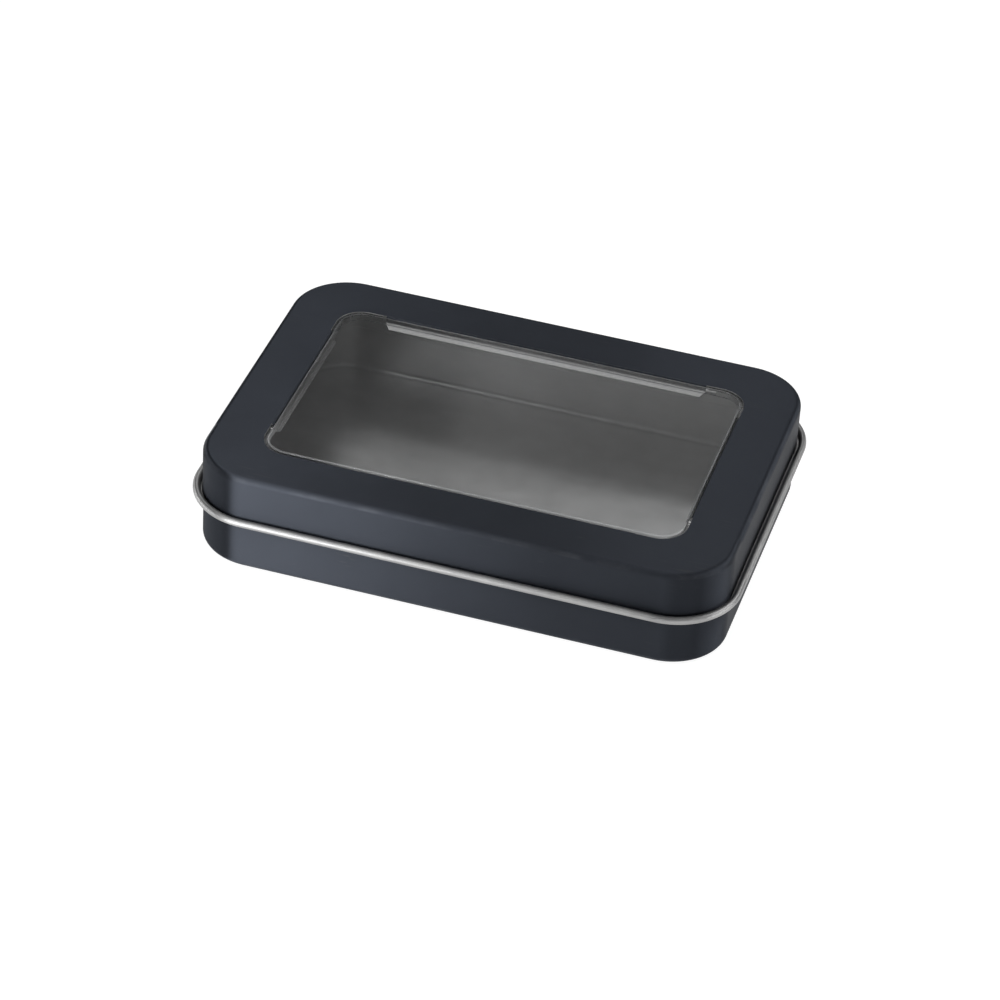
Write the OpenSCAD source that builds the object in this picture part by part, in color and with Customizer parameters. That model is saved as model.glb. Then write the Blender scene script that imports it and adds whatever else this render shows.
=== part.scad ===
// Card game tin: a pressed tray, a hinged lid with a rolled edge, and a clear window.
// The tin stands on z = 0 and is centred on the origin. Its hinge is on the +Y side.

/* [Tin] */
// Length of the lid over its walls
lid_l = 111; // [85:0.5:150]
// Width of the lid over its walls
lid_w = 77.9; // [60:0.1:110]
// Height of the closed tin, to the top of the lid panel
tin_h = 22.1; // [18:0.1:32]
// Plan radius of the lid's corners
corner_r = 12.5; // [9:0.5:18]
// Thickness of the tinplate
sheet = 0.25; // [0.2:0.01:0.3]

/* [Lid] */
// Radius of the shoulder between the panel and the wall
shoulder_r = 1.2; // [0.8:0.1:2.5]
// Depth from the panel's top down to the axis of the rolled edge
lid_drop = 10; // [8:0.1:12]
// Radius of the rolled edge
bead_r = 0.8; // [0.6:0.05:1]
// How far the axis of the rolled edge stands out from the lid's wall
bead_out = 1.2; // [1:0.05:1.6]

/* [Base] */
// How far the base's lower wall lies inside the lid's outer face
wall_inset = 0.2; // [0.1:0.05:0.4]
// Radius between the base's wall and its floor
foot_r = 1.5; // [1:0.1:3]
// Height of the base's neck above the axis of the rolled edge
neck_h = 6.5; // [5:0.1:7.5]
// Radius of the curl that hems the top of the neck
rim_r = 0.75; // [0.5:0.05:1]
// Height of the sloping step between the wall and the neck
step_h = 0.4; // [0.2:0.1:1]

/* [Window] */
// Width of the frame that the lid's panel leaves round the window
frame_w = 11.4; // [9:0.1:16]
// Radius of the window's corners
window_r = 5.4; // [4:0.1:8]
// How far the ends of each tab stay from the window's corners
tab_end = 9; // [7:0.5:12]
// Height of the upright part of each tab, below its fold
tab_drop = 0.85; // [0.6:0.05:1.5]
// Length of the lip at the foot of each tab
lip_l = 1.4; // [0.8:0.1:2]
// Angle of the lip away from upright
lip_tilt = 57; // [30:1:75]
// Thickness of the clear pane
pane_t = 0.3; // [0.2:0.05:0.5]
// How far the pane stands above the lid's panel
pane_rise = 0.1; // [0:0.05:0.3]
// How far the pane's ears reach under the frame at the corners
ear_reach = 2.5; // [1.5:0.1:4]

/* [Hinge] */
// Distance of each hinge from the middle of the tin
hinge_x = 30; // [20:0.5:38]
// Width of each hinge tongue
tongue_w = 10; // [6:0.5:14]
// Length of the tongue's end beyond its bend
tail_l = 0.9; // [0.5:0.1:1.2]
// Angle that the lid opens to
lid_open = 110; // [95:1:120]

/* [Fits] */
// Gap between the tongue and the rolled edge that turns in it
pivot_gap = 0.12; // [0.1:0.01:0.2]
// Gap at each side of a tongue in its slot
slot_side = 0.6; // [0.4:0.1:1]
// Gap above a tongue in its slot
slot_over = 0.6; // [0.4:0.1:1]
// Gap at each side of a tongue in the neck
notch_side = 0.3; // [0.2:0.1:0.6]
// Least gap between lid and neck as the lid's front edge swings past
swing_gap = 0.08; // [0.06:0.01:0.2]
// Gap between the closed lid and the base's step
seat_gap = 0.2; // [0.15:0.05:0.4]
// Gap between the pane and the fold of each tab
pane_gap = 0.34; // [0.2:0.02:0.5]
// Gap between the pane's ears and the frame, and between its skirt and the lips
pane_play = 0.05; // [0.03:0.01:0.1]
// Gap between the pane's ears and the ends of the tabs
ear_side = 0.6; // [0.3:0.1:1]

/* [Hidden] */
// Radii of the tight bends in the sheet, on the inner side of the bend
fold_in = 0.1;
bend_in = 0.15;
lip_in = 0.25;
// Angle that the lid could still turn beyond its range before the stop lands
stop_spare = 2;
// Where the rolled edge ends, beside the lid's wall
bead_end = 170;
// Where the base's curl ends, under itself
curl_end = 290;
// A length past every edge that a cut goes through
past = 1;

// Heights
bead_z = tin_h - lid_drop;
wall_foot_z = bead_z - bead_r + sheet + bend_in;
base_h = bead_z + neck_h;
neck_top_z = base_h - rim_r;
step_top_z = bead_z - bead_r - seat_gap;
pane_z = tin_h + pane_rise;

// Places across a wall, outward from the lid's outer face. The neck is set in far enough
// for the front edge of the lid, which swings on the rear edge, to pass over its top.
reach = lid_w - sheet + bead_out;
neck_fit = reach - sqrt(reach * reach + bead_r * bead_r - neck_h * neck_h) + swing_gap;
neck_out = -sheet - neck_fit;
neck_in = neck_out - sheet;

// Corner centres, which every wall shares
mid_l = lid_l - 2 * corner_r;
mid_w = lid_w - 2 * corner_r;

// Window: the fold line of the tabs, and the corners between them
window_l = lid_l - 2 * frame_w;
window_w = lid_w - 2 * frame_w;
fold_r = fold_in + sheet;

// Hinge tongue
loop_in = bead_r + pivot_gap;
loop_out = loop_in + sheet;
root_z = loop_in - bend_in;
slot_w = tongue_w + 2 * slot_side;
slot_top = loop_out + slot_over;
notch_w = tongue_w + 2 * notch_side;
// The lip that each slot leaves on the rolled edge lands on the tongue at the stop
stop_at = lid_open + stop_spare;
stop_lip = (loop_in + bead_r * cos(stop_at)) / sin(stop_at);

COAT = [0.17, 0.18, 0.21];
TINPLATE = [0.72, 0.73, 0.74];
CLEAR = [0.8, 0.86, 0.9, 0.35];

// A slice of sheet bent to inner radius r, from angle a to angle b
module bend(r, a, b) {
    w = 2 * (r + sheet);
    difference() {
        circle(r = r + sheet, $fn = 64);
        circle(r = r, $fn = 64);
        polygon([for (i = [0 : 6]) (i == 0) ? [0, 0] : let (t = b + (360 + a - b) * (i - 1) / 5)
            [w * cos(t), w * sin(t)]]);
    }
}

// One straight wall, with its outline drawn outward (x) and upward (y)
module straight(length) {
    translate([-length / 2, 0, 0]) rotate([90, 0, 90]) linear_extrude(length) children();
}

// Carries an outline round the tin: x is outward from the lid's outer face and y is height
module around() {
    for (s = [-1, 1]) {
        translate([0, s * lid_w / 2, 0]) rotate([0, 0, s > 0 ? 0 : 180]) straight(mid_l) children();
        translate([s * lid_l / 2, 0, 0]) rotate([0, 0, -s * 90]) straight(mid_w) children();
    }
    for (q = [0 : 3]) {
        sx = (q == 0 || q == 3) ? 1 : -1;
        sy = (q < 2) ? 1 : -1;
        translate([sx * mid_l / 2, sy * mid_w / 2, 0]) rotate([0, 0, q * 90])
            rotate_extrude(angle = 90, $fn = 96) translate([corner_r, 0]) children();
    }
}

// A plate with round corners, grown past the lid's outline by g
module plate(z, t, l, w, r, g = 0) {
    translate([0, 0, z]) linear_extrude(t) {
        square([l + 2 * g, w - 2 * r], center = true);
        square([l - 2 * r, w + 2 * g], center = true);
        for (x = [-1, 1], y = [-1, 1])
            translate([x * (l / 2 - r), y * (w / 2 - r)]) circle(r = r + g, $fn = 96);
    }
}

// A block on the rear wall at each hinge, from n0 to n1 outward and from z0 to z1
module at_hinges(w, n0, n1, z0, z1) {
    for (s = [-1, 1])
        translate([s * hinge_x - w / 2, lid_w / 2 + n0, z0]) cube([w, n1 - n0, z1 - z0]);
}

module tray_outline() {
    out = -wall_inset;
    in = out - sheet;
    low = step_top_z - step_h;
    polygon([[out, foot_r], [out, low], [neck_out, step_top_z], [neck_out, neck_top_z],
             [neck_in, neck_top_z], [neck_in, step_top_z - sheet / 2], [in, low - sheet / 2],
             [in, foot_r]]);
    translate([out - foot_r, foot_r]) bend(foot_r - sheet, 270, 360);
}

module base_tray() {
    color(COAT) difference() {
        union() {
            around() tray_outline();
            plate(0, sheet, lid_l, lid_w, corner_r, -wall_inset - foot_r);
        }
        at_hinges(notch_w, neck_in - past, neck_out + past, bead_z + root_z, base_h);
    }
}

// The neck's edge curled inwards, which keeps the sheet's coated face outside
module base_rim_curl() {
    color(COAT) difference() {
        around() translate([neck_out - rim_r, neck_top_z]) bend(rim_r - sheet, 0, curl_end);
        at_hinges(notch_w, neck_out - 2 * rim_r - past, neck_out + past, neck_top_z - 2 * rim_r,
                  base_h + past);
    }
}

// The tongue leaves the neck, crosses the slot over the rolled edge and hooks round under it,
// which turns the sheet's bare inner face outside
module hinge_tongue(side) {
    color(TINPLATE) translate([side * hinge_x, lid_w / 2 + bead_out, bead_z]) straight(tongue_w) {
        translate([neck_out - bead_out + bend_in, root_z]) bend(bend_in, 90, 180);
        translate([neck_out - bead_out + bend_in, loop_in])
            square([bead_out - neck_out - bend_in, sheet]);
        bend(loop_in, -90, 90);
        translate([-tail_l, -loop_out]) square([tail_l, sheet]);
    }
}

module lid_outline() {
    translate([-sheet, wall_foot_z]) square([sheet, tin_h - shoulder_r - wall_foot_z]);
    translate([-shoulder_r, tin_h - shoulder_r]) bend(shoulder_r - sheet, 0, 90);
}

module lid_shell() {
    color(COAT) difference() {
        union() {
            around() lid_outline();
            plate(tin_h - sheet, sheet, lid_l, lid_w, corner_r, -shoulder_r);
        }
        plate(tin_h - sheet - past, sheet + 2 * past, window_l, window_w, window_r, fold_r);
        at_hinges(slot_w, -sheet - past, past, wall_foot_z - past, bead_z + slot_top);
    }
}

module lid_rolled_edge() {
    color(TINPLATE) difference() {
        around() translate([bead_out, bead_z]) {
            bend(bead_r - sheet, -90, bead_end);
            translate([bend_in - bead_out, -bead_r]) square([bead_out - bend_in, sheet]);
            translate([bend_in - bead_out, bend_in + sheet - bead_r]) bend(bend_in, 180, 270);
        }
        at_hinges(slot_w, -sheet - past, bead_out - stop_lip, bead_z - bead_r - past, bead_z);
    }
}

// The fold, the upright and the tilted lip of a tab. x is inward from the fold line.
module tab_outline() {
    translate([-fold_r, tin_h - fold_r]) bend(fold_in, 0, 90);
    translate([-sheet, tin_h - fold_r - tab_drop]) square([sheet, tab_drop]);
    translate([lip_in, tin_h - fold_r - tab_drop]) {
        bend(lip_in, 180, 180 + lip_tilt);
        rotate(180 + lip_tilt) translate([lip_in, 0]) square([sheet, lip_l]);
    }
}

module pane_tab(turn, run, across) {
    color(TINPLATE) rotate([0, 0, turn]) translate([0, -across / 2, 0])
        straight(run - 2 * tab_end) tab_outline();
}

// The pane fills the window, its skirt stands just above the lips, and its ears lie under the
// frame at the corners, where there are no tabs
module window_pane() {
    seat_z = tin_h - fold_r - tab_drop - lip_in * sin(lip_tilt)
        - (pane_gap - lip_in * (1 - cos(lip_tilt))) / tan(lip_tilt) + pane_play;
    ear_z = tin_h - sheet - pane_play - pane_t;
    color(CLEAR) {
        difference() {
            plate(seat_z, pane_z - seat_z, window_l, window_w, window_r, -pane_gap);
            plate(seat_z - past, pane_z - pane_t - seat_z + past, window_l, window_w, window_r,
                  -pane_gap - pane_t);
        }
        difference() {
            plate(ear_z, pane_t, window_l, window_w, window_r, fold_r + ear_reach);
            plate(ear_z - past, pane_t + 2 * past, window_l, window_w, window_r,
                  -pane_gap - pane_t / 2);
            cube([window_l - 2 * tab_end + 2 * ear_side, 2 * lid_w, 4 * tin_h], center = true);
            cube([2 * lid_l, window_w - 2 * tab_end + 2 * ear_side, 4 * tin_h], center = true);
        }
    }
}

base_tray();
base_rim_curl();
hinge_tongue(-1);  // hinge_tongue_left
hinge_tongue(1);  // hinge_tongue_right
lid_shell();
lid_rolled_edge();
pane_tab(0, window_l, window_w);  // pane_tab_front
pane_tab(180, window_l, window_w);  // pane_tab_back
pane_tab(-90, window_w, window_l);  // pane_tab_left
pane_tab(90, window_w, window_l);  // pane_tab_right
window_pane();
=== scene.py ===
"""The looks of a card game tin: dark satin lacquer over tinplate, a bare rolled edge, and a clear
window in the hinged lid. Lengths are in millimetres unless they say metres, in the frame's axes."""

import math

import bmesh
import bpy
from mathutils import Matrix, Vector

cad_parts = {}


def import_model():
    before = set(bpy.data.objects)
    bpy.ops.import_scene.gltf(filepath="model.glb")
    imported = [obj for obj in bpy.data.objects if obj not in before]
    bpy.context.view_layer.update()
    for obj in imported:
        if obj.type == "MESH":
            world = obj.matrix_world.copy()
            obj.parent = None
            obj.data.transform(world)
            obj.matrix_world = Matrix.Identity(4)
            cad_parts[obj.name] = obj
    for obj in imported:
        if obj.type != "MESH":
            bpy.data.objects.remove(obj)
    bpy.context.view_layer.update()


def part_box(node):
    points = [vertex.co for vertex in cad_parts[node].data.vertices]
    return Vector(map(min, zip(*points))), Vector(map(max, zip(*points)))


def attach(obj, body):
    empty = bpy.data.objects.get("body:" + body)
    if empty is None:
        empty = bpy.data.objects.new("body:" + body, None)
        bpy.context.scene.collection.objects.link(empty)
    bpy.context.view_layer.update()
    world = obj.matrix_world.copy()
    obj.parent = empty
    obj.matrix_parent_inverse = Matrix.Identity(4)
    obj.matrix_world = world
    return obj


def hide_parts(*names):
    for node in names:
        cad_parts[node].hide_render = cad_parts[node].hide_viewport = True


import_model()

MM = 0.001

# The photograph's view of the tin: angles in degrees, and where the picture's middle falls
VIEW_AZIMUTH = 14.774
VIEW_ELEVATION = 35.860
VIEW_ROLL = 3.866
VIEW_DISTANCE = 834.06
VIEW_LENS = 145.34
VIEW_SENSOR = 36.0
VIEW_PIVOT = Vector((0, 0, 9.823))
VIEW_PAN = (0.700, 6.209)

# The sheet and its bends, where the frame's boxes don't give them
SHEET = 0.25
CORNER_R = 12.5
SHOULDER_R = 1.2
FOOT_R = 1.5
STEP_H = 0.4
SEAT_GAP = 0.2
BEND_IN = 0.15
FOLD_IN = 0.1
FOLD_R = FOLD_IN + SHEET
BEAD_END = 170
CURL_END = 290

# Window, tabs and pane
WINDOW_R = 5.4
TAB_END = 9.0
TAB_DROP = 0.85
TAB_CHAMFER = 1.0
LIP_IN = 0.25
LIP_L = 1.4
LIP_TILT = 57
PANE_T = 0.3
PANE_GAP = 0.34
PANE_PLAY = 0.05
PANE_EDGE_R = 0.28
EAR_REACH = 2.5
EAR_SIDE = 0.6

# Hinges
HINGE_X = 30.0
TONGUE_W = 10.0
TONGUE_TAPER = 0.8
TAIL_L = 0.9
PIVOT_GAP = 0.12
SLOT_SIDE = 0.6
SLOT_OVER = 0.6
NOTCH_SIDE = 0.3
STOP_AT = 112

# Fineness of the meshes: quads on a corner of the tin, the length of those along a side, and how
# far from a bend the first ring on a flat lies
CORNER_STEPS = 20
WALL_STEP = 5.0
SUPPORT = 0.3
PANE_SUPPORT = 0.1
TOLERANCE = 0.001

# Where rings and rows lie on the flats: inward from the bends of the tray's foot and of the pane,
# and as shares of the way across the window frame, along a tongue's tail and along a tab's tip
TRAY_INSETS = (9, 4, SUPPORT)
PANE_INSETS = (0.2, 1.5, 3.5)
FRAME_SHARES = (0.04, 0.2, 0.4, 0.6, 0.8, 0.96, 1)
TAIL_SHARES = (0.4, 0.7, 0.9, 1)
TIP_SHARES = (0.3, 0.7, 1)

# How much of its taper a strip has at its last three rows
TAIL_TAPERS = (0.12, 0.45, 1)
TIP_TAPERS = TIP_SHARES

# The bevel on a strip's cut edges
CUT_EDGE_W = 0.05
CUT_EDGE_SEGMENTS = 2
CUT_EDGE_ANGLE = 50

# Places of the finishes in a piece's materials: sheet metal, the pane, and a piece with just one
COATED, BARE = 0, 1
CLEAR, BENT, UNDER = 0, 1, 2
ONLY = 0

# Colours and values of the materials
COAT_TINT = (0.90, 1.00, 1.22)
VEIL_COLOUR = (0.8, 0.82, 0.84, 1)
QUARTER_TURN = 0.25

# The white studio, in metres: the floor's half size, where its glow begins and ends its rise, and
# the strength of the glow there and of the world's light
FLOOR_REACH = 30
GLOW_START = 0.2
GLOW_END = 0.45
GLOW_NEAR = 0.88
GLOW_FAR = 0.97
WORLD_STRENGTH = 0.13

# The lamps: name, azimuth, elevation, distance, width, height and power in watts
LAMPS = (
    ("key", -27, 8, 400, 200, 100, 1.05),
    ("key high", -37, 42, 300, 90, 120, 0.1),
    ("front high", -12, 50, 300, 150, 30, 0.06),
    ("front right", 30, 9, 450, 500, 100, 0.5),
    ("low right", 90, 9, 450, 400, 100, 0.5),
    ("right", 120, 45, 400, 200, 200, 0.4),
    ("back right", 135, 75, 400, 200, 200, 0.12),
    ("right end", 180, 60, 300, 60, 60, 0.045),
    ("back", -180, 48, 400, 200, 200, 0.075),
    ("back left", -150, 48, 400, 200, 200, 0.02),
    ("left high", -138, 50, 300, 80, 160, 0.06),
    ("left", -80, 9, 450, 450, 120, 0.65),
    ("above", -44, 72, 400, 200, 150, 0.045),
)


def node_box(name):
    """The lowest and highest corners of a CAD node, in millimetres."""
    low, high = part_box(name)
    return low / MM, high / MM


# Sizes that follow from the frame. Names of heights end in _z, apart from the tin's own, and "out"
# is outward from the lid's wall.
lid_high = node_box("lid_shell")[1]
edge_low, edge_high = node_box("lid_rolled_edge")
tray_high = node_box("base_tray")[1]
curl_high = node_box("base_rim_curl")[1]

half_l, half_w, tin_h = lid_high
bead_r = (edge_high.z - edge_low.z) / 2
bead_z = (edge_high.z + edge_low.z) / 2
bead_out = edge_high.x - half_l - bead_r
wall_foot_z = bead_z - bead_r + SHEET + BEND_IN
wall_out = tray_high.x - half_l
neck_out = curl_high.x - half_l
neck_in = neck_out - SHEET
neck_top_z = tray_high.z
rim_r = curl_high.z - neck_top_z
step_top_z = bead_z - bead_r - SEAT_GAP
step_low_z = step_top_z - STEP_H
window_l = node_box("pane_tab_right")[1].x - FOLD_R
window_w = node_box("pane_tab_back")[1].y - FOLD_R
pane_z = node_box("window_pane")[1].z
seat_z = node_box("window_pane")[0].z
loop_in = bead_r + PIVOT_GAP
loop_out = loop_in + SHEET
root_z = bead_z + loop_in - BEND_IN
slot_half = TONGUE_W / 2 + SLOT_SIDE
notch_half = TONGUE_W / 2 + NOTCH_SIDE
slot_top_z = bead_z + loop_out + SLOT_OVER
stop_out = bead_out - (loop_in + bead_r * math.cos(math.radians(STOP_AT))) / math.sin(
    math.radians(STOP_AT))


def arc(cx, cz, radius, start, end, steps):
    """Points (outward, height) of an arc from one angle to another, in degrees."""
    angles = [math.radians(start + (end - start) * i / steps) for i in range(steps + 1)]
    return [(cx + radius * math.cos(a), cz + radius * math.sin(a)) for a in angles]


def marks(reach, edges=()):
    """Places along a straight side from -reach to reach, with the given edges among them."""
    count = max(2, round(2 * reach / WALL_STEP))
    even = [-reach + 2 * reach * i / count for i in range(1, count)]
    kept = [v for v in even if all(abs(v - e) > WALL_STEP / 4 for e in edges)]
    return [-reach] + sorted(kept + list(edges)) + [reach]


def track(l, w, radius, x_edges=(), y_edges=()):
    """Columns that run anticlockwise round a rounded rectangle of half length l and half width w.
    Each is (share of the core's half length, share of its half width, outward normal)."""
    core_l, core_w = l - radius, w - radius
    along = [v / core_l for v in marks(core_l, x_edges)]
    across = [v / core_w for v in marks(core_w, y_edges)]
    columns = []
    for quarter in range(4):
        spin = Matrix.Rotation(math.radians(90 * quarter), 2)
        side = across if quarter % 2 == 0 else along
        if quarter in (1, 2):
            side = [-v for v in reversed(side)]
        columns += [(spin @ Vector((1, v)), spin @ Vector((1, 0))) for v in side]
        for i in range(1, CORNER_STEPS):
            a = math.radians(90 * i / CORNER_STEPS)
            columns.append((spin @ Vector((1, 1)), spin @ Vector((math.cos(a), math.sin(a)))))
    return columns


def ring(columns, l, w, radius, z):
    """The points of a track's columns on a rounded rectangle of its own size and radius."""
    return [(core.x * (l - radius) + normal.x * radius, core.y * (w - radius) + normal.y * radius, z)
            for core, normal in columns]


def round_wall(columns, profile, l=None, w=None, radius=CORNER_R):
    """One ring for each (outward, height) point of a profile, carried round the tin."""
    l = half_l if l is None else l
    w = half_w if w is None else w
    return [ring(columns, l + out, w + out, radius + out, z) for out, z in profile]


def new_object(name, data):
    """An object in the scene."""
    made = bpy.data.objects.new(name, data)
    bpy.context.scene.collection.objects.link(made)
    return made


class Piece:
    """Collects rings of points and the faces between them, and makes one object of them."""

    def __init__(self, *materials):
        self.materials = materials
        self.points = []
        self.faces = []
        self.finishes = []

    def add(self, rings):
        """Adds rings and returns them as lists of point numbers."""
        numbered = []
        for points in rings:
            numbered.append(range(len(self.points), len(self.points) + len(points)))
            self.points += points
        return numbered

    def face(self, corners, finish):
        """Adds a face of any number of corners."""
        self.faces.append(tuple(corners))
        self.finishes.append(finish)

    def band(self, low, high, finish, closed=True, skip=()):
        """Quads between two rings, apart from the columns in skip."""
        count = len(low)
        for i in range(count if closed else count - 1):
            if i not in skip:
                j = (i + 1) % count
                self.face((low[i], low[j], high[j], high[i]), finish)

    def loft(self, rings, finish, closed=True, skip=()):
        """Bands between each ring and the next."""
        for low, high in zip(rings, rings[1:]):
            self.band(low, high, finish, closed, skip)

    def join(self, line_a, line_b, finish):
        """Quads between two lines of point numbers: the cut edge of a sheet."""
        self.band(line_a, line_b, finish, closed=False)

    def make(self, name, body, nodes, sharp=35):
        """Makes the object, rides it on its body, and lets it stand for its CAD nodes."""
        mesh = bpy.data.meshes.new(name)
        mesh.from_pydata([Vector(p) * MM for p in self.points], [], self.faces)
        for material in self.materials:
            mesh.materials.append(material)
        mesh.polygons.foreach_set("material_index", self.finishes)
        work = bmesh.new()
        work.from_mesh(mesh)
        bmesh.ops.recalc_face_normals(work, faces=work.faces)
        work.to_mesh(mesh)
        work.free()
        mesh.shade_smooth()
        mesh.set_sharp_from_angle(angle=math.radians(sharp))
        piece = new_object(name, mesh)
        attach(piece, body)
        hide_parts(*nodes)
        return piece


def cut_track(half_width):
    """The track of the tin's walls, with the edges of the hinges' cuts among its columns, and the
    first column and the last of each cut in the rear wall."""
    edges = [side * HINGE_X + end for side in (-1, 1) for end in (-half_width, half_width)]
    columns = track(half_l, half_w, CORNER_R, x_edges=edges)
    core_l = half_l - CORNER_R
    cuts = []
    for side in (-1, 1):
        rear = [i for i, (core, normal) in enumerate(columns) if normal.y > 1 - TOLERANCE
                and abs(core.x * core_l - side * HINGE_X) < half_width + TOLERANCE]
        cuts.append((rear[0], rear[-1]))
    return columns, cuts


def cut_quads(cuts):
    """The columns whose quads the cuts leave out."""
    return {i for first, last in cuts for i in range(first, last)}


def cut_line(rings, first, last):
    """The points round a cut in a skin: in along its first side, across its end, and back.
    The rings run from the cut's open end to its closed one."""
    inward = [r[first] for r in rings]
    across = list(rings[-1][first + 1:last])
    return inward + across + [r[last] for r in reversed(rings)]


def lid_shell(coat, inner):
    """The lid's wall, shoulder and window frame, lacquered outside and bare inside."""
    piece = Piece(coat, inner)
    columns, cuts = cut_track(slot_half)
    slot = cut_quads(cuts)
    shoulder_z = tin_h - SHOULDER_R
    low = [wall_foot_z, slot_top_z]
    high = [slot_top_z + SUPPORT, (slot_top_z + shoulder_z) / 2, shoulder_z - SUPPORT]
    face_out = piece.add(round_wall(columns, [(0, z) for z in low + high]))
    face_in = piece.add(round_wall(columns, [(-SHEET, z) for z in low + high]))
    bend_out, bend_in = [
        piece.add(round_wall(columns, arc(-SHOULDER_R, shoulder_z, radius, 0, 90, steps=10)))
        for radius in (SHOULDER_R, SHOULDER_R - SHEET)]
    outer = (half_l - SHOULDER_R, half_w - SHOULDER_R, CORNER_R - SHOULDER_R)
    edge = (window_l + FOLD_R, window_w + FOLD_R, WINDOW_R + FOLD_R)
    sizes = [[a + (b - a) * t for a, b in zip(outer, edge)] for t in FRAME_SHARES]
    frame_out, frame_in = [piece.add([ring(columns, *size, z) for size in sizes])
                           for z in (tin_h, tin_h - SHEET)]
    for wall, bend, flat, finish in ((face_out, bend_out, frame_out, COATED),
                                     (face_in, bend_in, frame_in, BARE)):
        piece.band(wall[0], wall[1], finish, skip=slot)
        piece.loft(wall[1:] + bend + flat, finish)
    piece.band(frame_out[-1], frame_in[-1], BARE)
    piece.band(face_in[0], face_out[0], BARE, skip=slot)
    for first, last in cuts:
        piece.join(cut_line(face_out[:2], first, last), cut_line(face_in[:2], first, last), BARE)
    return piece.make("lid_shell_skin", "lid", ["lid_shell"])


def rolled_edge(bare):
    """The lid's foot, turned out and rolled, which shows the sheet's bare inner face."""
    piece = Piece(bare)
    columns, cuts = cut_track(slot_half)
    slot = cut_quads(cuts)
    foot_z = bead_z - bead_r
    skins = []
    for bend_r, radius, flat_z in ((BEND_IN + SHEET, bead_r, foot_z),
                                   (BEND_IN, bead_r - SHEET, foot_z + SHEET)):
        bend = arc(BEND_IN, wall_foot_z, bend_r, 180, 270, steps=5)
        turn = arc(bead_out, bead_z, radius, -90, BEAD_END, steps=26)
        foot = piece.add(round_wall(columns, bend + [(stop_out, flat_z)]))
        roll = piece.add(round_wall(columns, turn))
        piece.loft(foot, ONLY, skip=slot)
        piece.loft([foot[-1]] + roll, ONLY)
        skins.append((foot, roll))
    (foot_out, roll_out), (foot_in, roll_in) = skins
    piece.band(roll_out[-1], roll_in[-1], ONLY)
    piece.band(foot_in[0], foot_out[0], ONLY, skip=slot)
    for first, last in cuts:
        piece.join(cut_line(foot_out, first, last), cut_line(foot_in, first, last), ONLY)
    return piece.make("lid_rolled_edge_skin", "lid", ["lid_rolled_edge"])


def base_tray(coat, inner):
    """The base's floor, wall, step and neck, lacquered outside and bare inside."""
    piece = Piece(coat, inner)
    columns, cuts = cut_track(notch_half)
    notch = cut_quads(cuts)
    mid_z = (FOOT_R + step_low_z) / 2
    skins = []
    for wall, neck, lift in ((wall_out, neck_out, 0), (wall_out - SHEET, neck_in, SHEET)):
        drop = lift / 2
        foot = arc(wall_out - FOOT_R, FOOT_R, FOOT_R - lift, 270, 360, steps=10)
        flat = [(wall_out - FOOT_R - inset, lift) for inset in TRAY_INSETS]
        upper = [(wall, FOOT_R + SUPPORT), (wall, mid_z), (wall, step_low_z - drop - SUPPORT),
                 (wall, step_low_z - drop), (neck, step_top_z - drop),
                 (neck, step_top_z - drop + SUPPORT), (neck, root_z)]
        low = piece.add(round_wall(columns, flat + foot + upper))
        top = piece.add(round_wall(columns, [(neck, (root_z + neck_top_z) / 2),
                                             (neck, neck_top_z)]))
        finish = BARE if lift else COATED
        piece.face(low[0], finish)
        piece.loft(low, finish)
        piece.loft([low[-1]] + top, finish, skip=notch)
        skins.append([low[-1]] + top)
    neck_skin, inner_skin = skins
    piece.band(neck_skin[-1], inner_skin[-1], BARE, skip=notch)
    for first, last in cuts:
        piece.join(cut_line(neck_skin[::-1], first, last),
                   cut_line(inner_skin[::-1], first, last), BARE)
    return piece.make("base_tray_skin", "base", ["base_tray"])


def stretches(columns, cuts):
    """The columns between the two hinges' cuts, and those on the long way round."""
    (left_first, left_last), (right_first, right_last) = cuts
    return (columns[right_last:left_first + 1],
            columns[left_last:] + columns[:right_first + 1])


def base_rim_curl(coat, inner):
    """The hem on the neck: the neck's top edge curled inwards, open at the hinges."""
    piece = Piece(coat, inner)
    columns, cuts = cut_track(notch_half)
    for part in stretches(columns, cuts):
        skins = []
        for radius, finish in ((rim_r, COATED), (rim_r - SHEET, BARE)):
            curl = arc(neck_out - rim_r, neck_top_z, radius, 0, CURL_END, steps=24)
            rings = piece.add(round_wall(part, curl))
            piece.loft(rings, finish, closed=False)
            skins.append(rings)
        outer, inside = skins
        for end in (0, -1):
            piece.join([r[end] for r in outer], [r[end] for r in inside], BARE)
            piece.join(outer[end], inside[end], BARE)
    return piece.make("base_rim_curl_skin", "base", ["base_rim_curl"])


def strip(piece, top, under, halves, place, finishes):
    """A bent strip of sheet: two skins of (reach, height) points, its half width at each point,
    and the finishes of both skins on each stretch between two points."""
    sections = []
    for (top_at, top_z), (under_at, under_z), half in zip(top, under, halves):
        sections.append([place(top_at, top_z, -half), place(top_at, top_z, half),
                         place(under_at, under_z, half), place(under_at, under_z, -half)])
    rings = piece.add(sections)
    for low, high, (top_finish, under_finish) in zip(rings, rings[1:], finishes):
        for side, finish in enumerate((top_finish, BARE, under_finish, BARE)):
            after = (side + 1) % 4
            piece.face((low[side], low[after], high[after], high[side]), finish)
    piece.face(rings[0], BARE)
    piece.face(rings[-1], BARE)


def tapered(half, rows, taper, shares):
    """The half width at each row of a strip, whose last rows narrow by shares of a taper."""
    return [half] * (rows - len(shares)) + [half - taper * share for share in shares]


def soften(strip_object):
    """Rounds the cut edges of a strip."""
    bevel = strip_object.modifiers.new("cut edges", "BEVEL")
    bevel.width = CUT_EDGE_W * MM
    bevel.segments = CUT_EDGE_SEGMENTS
    bevel.limit_method = "ANGLE"
    bevel.angle_limit = math.radians(CUT_EDGE_ANGLE)
    bevel.harden_normals = False


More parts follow.
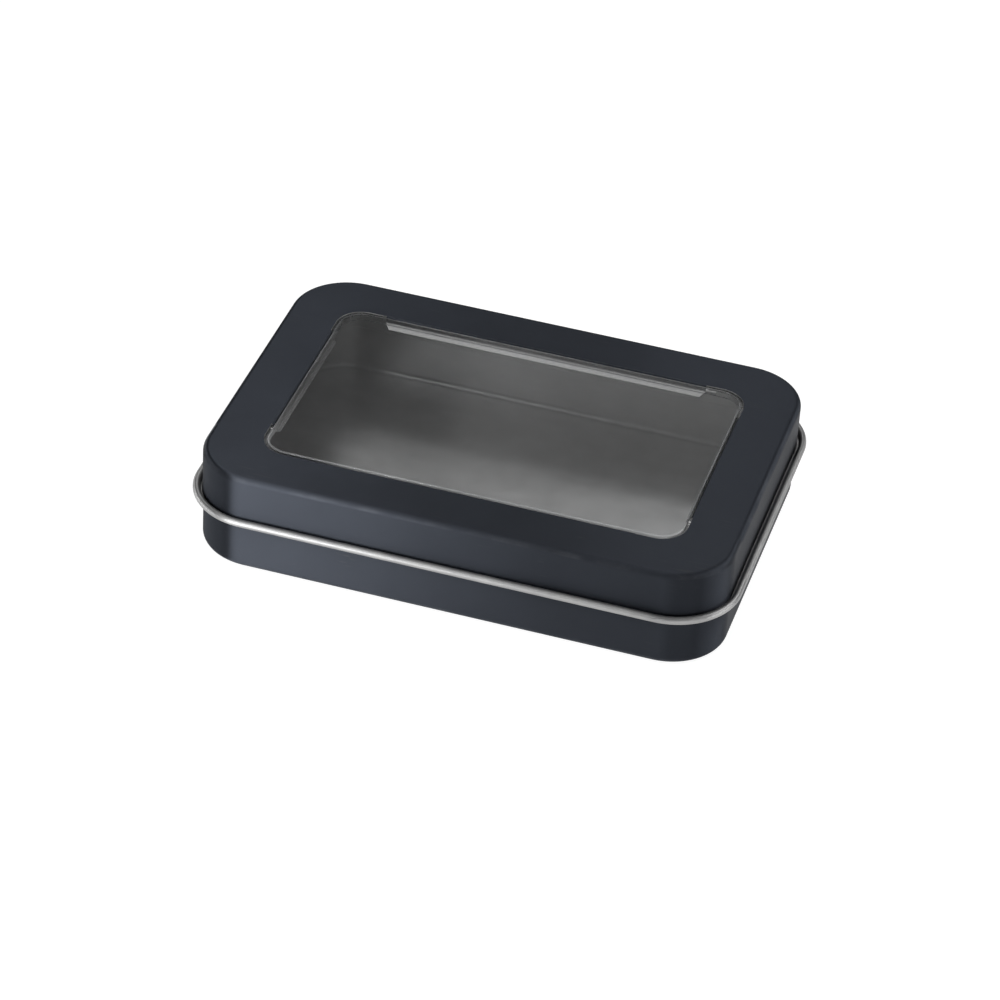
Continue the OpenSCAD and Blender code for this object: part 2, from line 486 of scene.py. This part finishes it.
def hinge_tongue(name, side, coat, bare):
    """A tongue of the base that crosses the slot and hooks round the rolled edge. It is bent
    outward, so the sheet's bare face is on the outside of the hook."""
    piece = Piece(coat, bare)
    skins = []
    for bend, loop in ((BEND_IN + SHEET, loop_out), (BEND_IN, loop_in)):
        root = arc(neck_out + BEND_IN, root_z, bend, 180, 90, steps=6)
        hook = arc(bead_out, bead_z, loop, 90, -90, steps=20)
        tail = [(bead_out - TAIL_L * share, bead_z - loop) for share in TAIL_SHARES]
        skins.append(root + hook + tail)
    halves = tapered(TONGUE_W / 2, len(skins[0]), TONGUE_TAPER, TAIL_TAPERS)

    def place(out, z, along):
        return side * HINGE_X + along, half_w + out, z

    strip(piece, *skins, halves, place, [(BARE, COATED)] * (len(halves) - 1))
    tongue = piece.make(name + "_strip", "base", [name])
    soften(tongue)
    return tongue


def pane_tab(name, turn, run, across, coat, bare):
    """A tab folded down from the window's edge, whose tilted lip carries the pane. The lacquer
    goes round the fold and ends above the lip."""
    piece = Piece(coat, bare)
    spin = Matrix.Rotation(math.radians(turn), 2)
    upright_z = tin_h - FOLD_R - TAB_DROP
    tilt = math.radians(180 + LIP_TILT)
    skins = []
    for fold, lip in ((FOLD_R, LIP_IN), (FOLD_IN, LIP_IN + SHEET)):
        bend = arc(LIP_IN, upright_z, lip, 180, 180 + LIP_TILT, steps=6)
        tip = [(bend[-1][0] - math.sin(tilt) * LIP_L * share,
                bend[-1][1] + math.cos(tilt) * LIP_L * share) for share in TIP_SHARES]
        turned = arc(-FOLD_R, tin_h - FOLD_R, fold, 90, 0, steps=8)
        skins.append(turned + bend + tip)
    halves = tapered(run - TAB_END, len(skins[0]), TAB_CHAMFER, TIP_TAPERS)

    def place(inward, z, along):
        spot = spin @ Vector((along, inward - across))
        return spot.x, spot.y, z

    finishes = [(COATED, BARE)] * len(turned) + [(BARE, BARE)] * (len(bend) + len(tip) - 1)
    strip(piece, *skins, halves, place, finishes)
    tab = piece.make(name + "_strip", "lid", [name])
    soften(tab)
    return tab


def cyclic_run(columns, keep):
    """The one run of columns, which may pass the track's end, whose cores keep() accepts."""
    kept = [keep(core) for core, normal in columns]
    first = next(i for i, wanted in enumerate(kept) if wanted and not kept[i - 1])
    turned = columns[first:] + columns[:first]
    return turned[:sum(kept)]


def window_pane(clear, bent, under):
    """The clear pane: a plateau with a rounded edge and a skirt, and an ear at each corner."""
    piece = Piece(clear, bent, under)
    ear_x = window_l - TAB_END + EAR_SIDE
    ear_y = window_w - TAB_END + EAR_SIDE
    columns = track(window_l, window_w, WINDOW_R, (-ear_x, ear_x), (-ear_y, ear_y))

    def rings(profile, part=columns):
        return piece.add(round_wall(part, profile, window_l, window_w, WINDOW_R))

    skins = []
    for out, top_z, edge_r, flat_finish, bend_finish in (
            (-PANE_GAP, pane_z, PANE_EDGE_R, CLEAR, BENT),
            (-PANE_GAP - PANE_T, pane_z - PANE_T, PANE_EDGE_R / 2, UNDER, UNDER)):
        skirt = [(out, seat_z), (out, (seat_z + top_z) / 2), (out, top_z - edge_r - PANE_SUPPORT)]
        edge = arc(out - edge_r, top_z - edge_r, edge_r, 0, 90, steps=6)
        top = [(out - edge_r - inset, top_z) for inset in PANE_INSETS]
        skin = rings(skirt + edge + top)
        first, last = len(skirt) - 1, len(skirt) + len(edge)
        piece.loft(skin[:first + 1], flat_finish)
        piece.loft(skin[first:last], bend_finish)
        piece.loft(skin[last - 1:], flat_finish)
        piece.face(skin[-1], flat_finish)
        skins.append(skin)
    piece.band(skins[0][0], skins[1][0], CLEAR)

    ear_z = tin_h - SHEET - PANE_PLAY - PANE_T
    ear_in, ear_out = -PANE_GAP, FOLD_R + EAR_REACH
    section = [(ear_in, ear_z), (ear_out, ear_z), (ear_out, ear_z + PANE_T),
               (ear_in, ear_z + PANE_T)]
    core_l, core_w = window_l - WINDOW_R, window_w - WINDOW_R
    for sign_x in (-1, 1):
        for sign_y in (-1, 1):
            part = cyclic_run(columns, lambda core: sign_x * core.x * core_l > ear_x - TOLERANCE
                              and sign_y * core.y * core_w > ear_y - TOLERANCE)
            ear = rings(section, part)
            piece.loft(ear + ear[:1], CLEAR, closed=False)
            for end in (0, -1):
                piece.face([r[end] for r in ear], CLEAR)
    return piece.make("window_pane_sheet", "lid", ["window_pane"], sharp=50)


class Shader:
    """A material's node tree, built a node at a time."""

    def __init__(self, name):
        self.material = bpy.data.materials.new(name)
        self.material.use_nodes = True
        self.tree = self.material.node_tree
        self.tree.nodes.clear()
        self.output = self.node("OutputMaterial")
        self.spot = self.node("TexCoord").outputs["Object"]

    def node(self, kind, settings=(), **inputs):
        """Adds a node. Inputs are values or sockets, and their names have _ for a space."""
        made = self.tree.nodes.new("ShaderNode" + kind)
        for key, value in dict(settings).items():
            setattr(made, key, value)
        for key, value in inputs.items():
            self.feed(made.inputs[key.replace("_", " ")], value)
        return made

    def feed(self, socket, value):
        """Links a socket to an input, or sets the input's own value."""
        if isinstance(value, bpy.types.NodeSocket):
            self.tree.links.new(value, socket)
        else:
            socket.default_value = value

    def noise(self, size, detail=2.0, stretch=(1, 1, 1), roughness=0.5, seed=0.0):
        """Noise whose blotches are about this many millimetres across, stretched along the axes."""
        shift = self.node("Mapping", Vector=self.spot, Location=(seed, seed, seed),
                          Scale=tuple(1 / (size * MM * s) for s in stretch))
        made = self.node("TexNoise", Vector=shift.outputs[0], Scale=1.0, Detail=detail,
                         Roughness=roughness)
        return made.outputs["Fac"]

    def ramp(self, value, low, high, out_low=0.0, out_high=1.0):
        """Maps low to high onto out_low to out_high, and holds the ends."""
        return self.node("MapRange", Value=value, From_Min=low, From_Max=high, To_Min=out_low,
                         To_Max=out_high).outputs[0]

    def mix(self, share, first, second):
        """Mixes two colours."""
        made = self.node("Mix", {"data_type": "RGBA"})
        self.feed(made.inputs[0], share)
        self.feed(made.inputs[6], first)
        self.feed(made.inputs[7], second)
        return made.outputs[2]

    def maths(self, operation, first, second):
        made = self.node("Math", {"operation": operation})
        self.feed(made.inputs[0], first)
        self.feed(made.inputs[1], second)
        return made.outputs[0]

    def absolute(self, value):
        return self.maths("ABSOLUTE", value, 0)

    def blend(self, share, first, second):
        """Mixes two shaders."""
        made = self.node("MixShader")
        self.feed(made.inputs[0], share)
        self.feed(made.inputs[1], first)
        self.feed(made.inputs[2], second)
        return made.outputs[0]

    def bump(self, height, depth, normal=None):
        """A bump whose full height is this many millimetres."""
        made = self.node("Bump", Height=height, Distance=depth * MM, Strength=1.0)
        if normal is not None:
            self.feed(made.inputs["Normal"], normal)
        return made.outputs[0]

    def finish(self, shader):
        """Feeds the output and returns the material."""
        self.feed(self.output.inputs["Surface"], shader)
        return self.material


def grey(level, tint=(1, 1, 1)):
    """A grey, or a tinted one, as a colour socket takes it."""
    return tuple(level * t for t in tint) + (1.0,)


def brushed(shader):
    """The direction of the fine lines that steer the sheet's gloss: along X where it lies flat, and
    level round the tin where it stands up."""
    facing = shader.node("TexCoord").outputs["Normal"]
    x, y, z = shader.node("SeparateXYZ", Vector=facing).outputs
    rear = shader.maths("GREATER_THAN", y, -0.001)
    side = shader.maths("SUBTRACT", 1.0, shader.maths("MULTIPLY", rear, 2.0))
    flat_x = shader.maths("SUBTRACT", 1.0, shader.maths("MULTIPLY", x, x))
    along_x = shader.maths("ADD", flat_x, shader.absolute(y))
    along_y = shader.maths("MULTIPLY", x, shader.maths("SUBTRACT", side, y))
    along_z = shader.maths("MULTIPLY", shader.maths("MULTIPLY", x, z), -1.0)
    line = shader.node("CombineXYZ", X=along_x, Y=along_y, Z=along_z).outputs[0]
    turned = shader.node("VectorTransform", {"vector_type": "VECTOR", "convert_from": "OBJECT",
                                             "convert_to": "WORLD"}, Vector=line)
    return turned.outputs[0]


def coat_material():
    """Thin blue-black lacquer on brushed sheet, whose lines still steer its gloss: faint clouding,
    orange peel, soft scuffs, and lighter patches along the bends: part wear, part painted highlight."""
    s = Shader("lacquer")
    cloud = s.noise(14, detail=3)
    grain = s.noise(0.35, detail=2)
    peel = s.noise(1.4, detail=1)
    sway = s.noise(26, detail=1, seed=3.0)
    scuff_place = s.ramp(s.noise(9, detail=1, seed=7.0), 0.60, 0.72)
    scuff_line = s.ramp(s.noise(0.5, detail=1, stretch=(9, 1, 1), seed=1.0), 0.62, 0.72)
    scuff = s.maths("MULTIPLY", scuff_place, scuff_line)
    base = s.mix(s.ramp(cloud, 0.3, 0.7), grey(0.042, COAT_TINT), grey(0.048, COAT_TINT))
    colour = s.mix(s.maths("MULTIPLY", scuff, 0.12), base, grey(0.2))
    rough = s.ramp(cloud, 0.3, 0.7, 0.41, 0.44)
    rough = s.maths("ADD", rough, s.ramp(grain, 0.3, 0.7, -0.02, 0.02))
    rough = s.maths("ADD", rough, s.maths("MULTIPLY", scuff, 0.12))
    x, y, z = s.node("SeparateXYZ", Vector=s.node("TexCoord").outputs["Normal"]).outputs
    corner = s.absolute(s.maths("MULTIPLY", x, y))
    rough = s.maths("ADD", rough, s.ramp(corner, 0.02, 0.4, 0, 0.2))
    flat = s.absolute(z)
    bend = s.maths("MULTIPLY", flat, s.maths("SUBTRACT", 1.0, flat))
    # Lighter patches along the bends: partly worn lacquer, partly a painted highlight along the
    # shoulders
    wear_and_highlight = s.maths("MULTIPLY", s.ramp(bend, 0.08, 0.22),
                     s.ramp(s.noise(6, detail=3, seed=9.0), 0.40, 0.72))
    colour = s.mix(s.maths("MULTIPLY", wear_and_highlight, 0.3), colour, grey(0.11, (0.95, 1, 1.1)))
    rough = s.maths("SUBTRACT", rough, s.maths("MULTIPLY", wear_and_highlight, 0.04))
    normal = s.bump(sway, 0.02)
    normal = s.bump(peel, 0.0012, normal)
    normal = s.bump(grain, 0.0006, normal)
    shader = s.node("BsdfPrincipled", Base_Color=colour, Roughness=rough, Normal=normal,
                    Metallic=1.0, Specular_Tint=grey(0.85), Anisotropic=1.0,
                    Anisotropic_Rotation=QUARTER_TURN, Tangent=brushed(s))
    return s.finish(shader.outputs[0])


def tinplate_material(name, low, high, smooth, dull):
    """Bare tinplate between two levels of brightness and of roughness: fine rolling lines along
    the sheet, soft spangle, small dull places."""
    s = Shader(name)
    spangle = s.noise(5, detail=3)
    lines = s.noise(0.22, detail=2, stretch=(40, 1, 1))
    grain = s.noise(0.3, detail=2)
    colour = s.mix(s.ramp(spangle, 0.3, 0.7), grey(low, (1, 1, 1.01)), grey(high, (1, 1, 0.99)))
    colour = s.mix(s.ramp(lines, 0.35, 0.65, 0, 0.18), colour, grey(0.85 * low))
    rough = s.maths("ADD", s.ramp(spangle, 0.3, 0.7, smooth, dull),
                    s.ramp(grain, 0.3, 0.7, -0.03, 0.03))
    normal = s.bump(lines, 0.0008)
    normal = s.bump(grain, 0.0006, normal)
    shader = s.node("BsdfPrincipled", Base_Color=colour, Roughness=rough, Normal=normal,
                    Metallic=1.0, Anisotropic=0.8, Anisotropic_Rotation=QUARTER_TURN,
                    Tangent=brushed(s))
    return s.finish(shader.outputs[0])


def inner_material(name, level, rough):
    """The bare sheet inside the tin, about a level of brightness: soft spangle and fine lines."""
    s = Shader(name)
    spangle = s.noise(6, detail=3, seed=4.0)
    lines = s.noise(0.6, detail=1, stretch=(30, 1, 1), seed=4.0)
    colour = s.mix(s.ramp(spangle, 0.3, 0.7), grey(level - 0.03), grey(level + 0.03))
    colour = s.mix(s.ramp(lines, 0.35, 0.65, 0, 0.10), colour, grey(level - 0.1))
    dull = s.ramp(spangle, 0.3, 0.7, rough - 0.02, rough + 0.02)
    normal = s.bump(lines, 0.0004)
    shader = s.node("BsdfPrincipled", Base_Color=colour, Roughness=dull, Normal=normal,
                    Metallic=1.0, Anisotropic=0.6, Anisotropic_Rotation=QUARTER_TURN,
                    Tangent=brushed(s))
    return s.finish(shader.outputs[0])


def clear_material(name, veil_low, veil_high):
    """Clear plastic: seen through, with gloss by angle and a diffuse veil mixed in: faint haze at low
    shares, a painted highlight at high ones. Its gloss stands for both faces of the sheet."""
    s = Shader(name)
    haze = s.noise(9, detail=2, seed=6.0)
    through = s.node("BsdfTransparent", Color=(0.92, 0.925, 0.925, 1))
    gloss = s.node("BsdfGlossy", Color=(1, 1, 1, 1), Roughness=s.ramp(haze, 0.3, 0.7, 0.11, 0.13))
    edge = s.node("Fresnel", IOR=1.45)
    clear = s.blend(edge.outputs[0], through.outputs[0], gloss.outputs[0])
    veil = s.node("BsdfDiffuse", Color=VEIL_COLOUR)
    share = s.ramp(haze, 0.3, 0.7, veil_low, veil_high)
    return s.finish(s.blend(share, clear, veil.outputs[0]))


def under_material():
    """The clear plastic's under face, which only lets light through, with a trace of dust."""
    s = Shader("clear plastic underside")
    through = s.node("BsdfTransparent", Color=(0.985, 0.985, 0.985, 1))
    veil = s.node("BsdfDiffuse", Color=VEIL_COLOUR)
    dust = s.ramp(s.noise(7, detail=2, seed=8.0), 0.3, 0.7, 0.004, 0.008)
    return s.finish(s.blend(dust, through.outputs[0], veil.outputs[0]))


def floor():
    """A plain floor that keeps the tin's shadow, and looks white to the camera and in gloss."""
    corners = [(x * FLOOR_REACH, y * FLOOR_REACH, 0)
               for x, y in ((-1, -1), (1, -1), (1, 1), (-1, 1))]
    mesh = bpy.data.meshes.new("floor")
    mesh.from_pydata(corners, [], [(0, 1, 2, 3)])
    ground = new_object("floor", mesh)
    s = Shader("white floor")
    lit = s.node("BsdfDiffuse", Color=(0.3, 0.3, 0.3, 1))
    rays = s.node("LightPath")
    seen = s.maths("MAXIMUM", rays.outputs["Is Camera Ray"], rays.outputs["Is Glossy Ray"])
    seen = s.maths("MAXIMUM", seen, rays.outputs["Is Transmission Ray"])
    away = s.node("VectorMath", {"operation": "LENGTH"})
    s.feed(away.inputs[0], s.spot)
    level = s.ramp(away.outputs["Value"], GLOW_START, GLOW_END, GLOW_NEAR, GLOW_FAR)
    glow = s.node("Emission", Color=(1, 1, 1, 1), Strength=s.maths("MULTIPLY", seen, level))
    both = s.node("AddShader")
    s.feed(both.inputs[0], lit.outputs[0])
    s.feed(both.inputs[1], glow.outputs[0])
    mesh.materials.append(s.finish(both.outputs[0]))


def world():
    """Faint even light from all round."""
    made = bpy.data.worlds.new("studio")
    made.use_nodes = True
    back = made.node_tree.nodes["Background"]
    back.inputs["Color"].default_value = (1, 1, 1, 1)
    back.inputs["Strength"].default_value = WORLD_STRENGTH
    bpy.context.scene.world = made


def direction(azimuth, elevation):
    """The way from the tin towards an azimuth and an elevation, in degrees."""
    a, e = math.radians(azimuth), math.radians(elevation)
    return Vector((math.sin(a) * math.cos(e), -math.cos(a) * math.cos(e), math.sin(e)))


def softbox(name, azimuth, elevation, distance, width, height, power):
    """A flat lamp that faces the tin, from an azimuth and elevation as seen from the tin."""
    lamp = bpy.data.lights.new(name, "AREA")
    lamp.shape = "RECTANGLE"
    lamp.size = width * MM
    lamp.size_y = height * MM
    lamp.energy = power
    holder = new_object(name, lamp)
    way = direction(azimuth, elevation)
    holder.location = way * distance * MM
    holder.rotation_euler = way.to_track_quat("Z", "Y").to_euler()


def camera():
    """The camera at the photograph's viewing angle."""
    lens = bpy.data.cameras.new("camera")
    lens.sensor_width = VIEW_SENSOR
    lens.lens = VIEW_LENS
    lens.clip_start = 10 * MM
    roll = math.radians(VIEW_ROLL)
    back = direction(VIEW_AZIMUTH, VIEW_ELEVATION)
    level = Vector((0, 0, 1)).cross(back).normalized()
    upright = back.cross(level)
    right = level * math.cos(roll) + upright * math.sin(roll)
    up = upright * math.cos(roll) - level * math.sin(roll)
    spot = VIEW_PIVOT + back * VIEW_DISTANCE - right * VIEW_PAN[0] - up * VIEW_PAN[1]
    turn = Matrix((right, up, back)).transposed().to_4x4()
    eye = new_object("camera", lens)
    eye.matrix_world = Matrix.Translation(spot * MM) @ turn
    bpy.context.scene.camera = eye


# The same bare tinplate in copies of different brightness, set by how lit each place looks: the copy
# for the rolled edge and the tongues is darkened as painted shade, and the copy for the tabs' lips is
# brightened as a painted highlight
bare = tinplate_material("bare tinplate", 0.31, 0.37, 0.40, 0.46)
painted_bright = tinplate_material("bright tinplate", 0.70, 0.78, 0.20, 0.24)
lacquer = coat_material()
# The insides are more copies of that tinplate at levels of their own, set by how light or dark each
# inside looks rather than by the metal: painted light and shade
lid_inside = inner_material("lid inside", 0.45, 0.60)
base_inside = inner_material("base inside", 0.57, 0.34)
lid_shell(lacquer, lid_inside)
rolled_edge(bare)
base_tray(lacquer, base_inside)
base_rim_curl(lacquer, base_inside)
for name, side in (("left", -1), ("right", 1)):
    hinge_tongue("hinge_tongue_" + name, side, lacquer, bare)
for name, turn, run, across in (("front", 0, window_l, window_w), ("back", 180, window_l, window_w),
                                ("left", -90, window_w, window_l), ("right", 90, window_w, window_l)):
    pane_tab("pane_tab_" + name, turn, run, across, lacquer, painted_bright)
# The pane's bend gets a much heavier veil than its flats: a painted highlight along the pane's
# rounded edge, while the flats' veil is faint haze
window_pane(clear_material("clear plastic", 0.022, 0.030),
            clear_material("clear plastic at its bend", 0.12, 0.20), under_material())

floor()
world()
for lamp in LAMPS:
    softbox(*lamp)
camera()

bpy.context.scene.view_settings.view_transform = "Standard"
